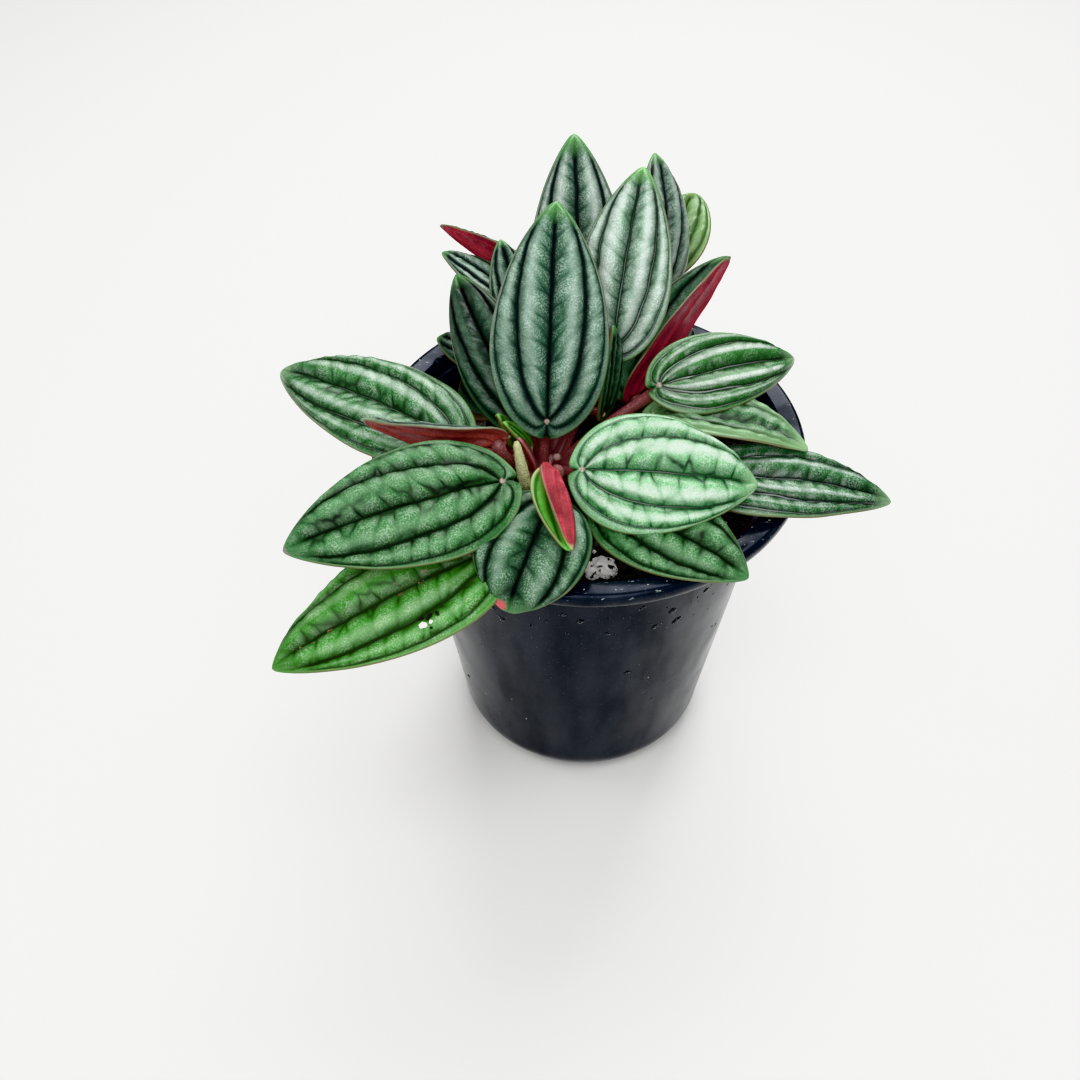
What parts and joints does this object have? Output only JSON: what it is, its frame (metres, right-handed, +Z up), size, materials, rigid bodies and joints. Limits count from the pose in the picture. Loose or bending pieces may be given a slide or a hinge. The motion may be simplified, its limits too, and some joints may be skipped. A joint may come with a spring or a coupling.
{
  "type": "potted peperomia",
  "caption": "Small potted foliage plant: ribbed, pointed oval leaves with maroon undersides on dark red stalks, standing in soil in a tapered black nursery pot.",
  "frame": {"origin": "centre of the pot's flat base, on the face that it rests on", "axes": "+Z up along the pot's axis; -Y towards the side that the picture shows nearest, where the widest leaves spread; +X to the right in that view"},
  "size_m": [0.1284, 0.1295, 0.1245],
  "materials": {
    "pot_plastic": "gloss",
    "potting_soil": "matte",
    "perlite_grain": "matte",
    "leaf_stalk": "satin",
    "flower_spike": "satin",
    "leaf_silver": "satin",
    "leaf_deep": "satin",
    "leaf_bright": "satin",
    "leaf_lime": "satin",
    "leaf_coral": "satin",
    "leaf_maroon": "satin"
  },
  "bodies": {
    "root": {"pot": "pot_plastic", "soil": "potting_soil", "perlite_1": "perlite_grain", "perlite_2": "perlite_grain", "perlite_3": "perlite_grain", "perlite_4": "perlite_grain", "crown_main": "leaf_stalk", "crown_side": "leaf_stalk", "flower_spike": "flower_spike", "leaf_01": "leaf_silver", "leaf_02": "leaf_deep", "leaf_03": "leaf_silver", "leaf_04": "leaf_deep", "leaf_05": "leaf_lime", "leaf_06": "leaf_silver", "leaf_07": "leaf_silver", "leaf_08": "leaf_silver", "leaf_09": "leaf_silver", "leaf_10": "leaf_silver", "leaf_11": "leaf_deep", "leaf_12": "leaf_deep", "leaf_13": "leaf_bright", "leaf_14": "leaf_silver", "leaf_15": "leaf_silver", "leaf_16": "leaf_silver", "leaf_17": "leaf_deep", "leaf_18": "leaf_silver", "leaf_19": "leaf_silver", "leaf_20": "leaf_deep", "leaf_21": "leaf_deep", "leaf_22": "leaf_deep", "leaf_23": "leaf_deep", "leaf_24": "leaf_silver", "leaf_25": "leaf_deep", "young_1": "leaf_coral", "young_2": "leaf_lime", "young_3": "leaf_lime", "young_4": "leaf_lime", "bract": "leaf_maroon"}
  },
  "joints": []
}
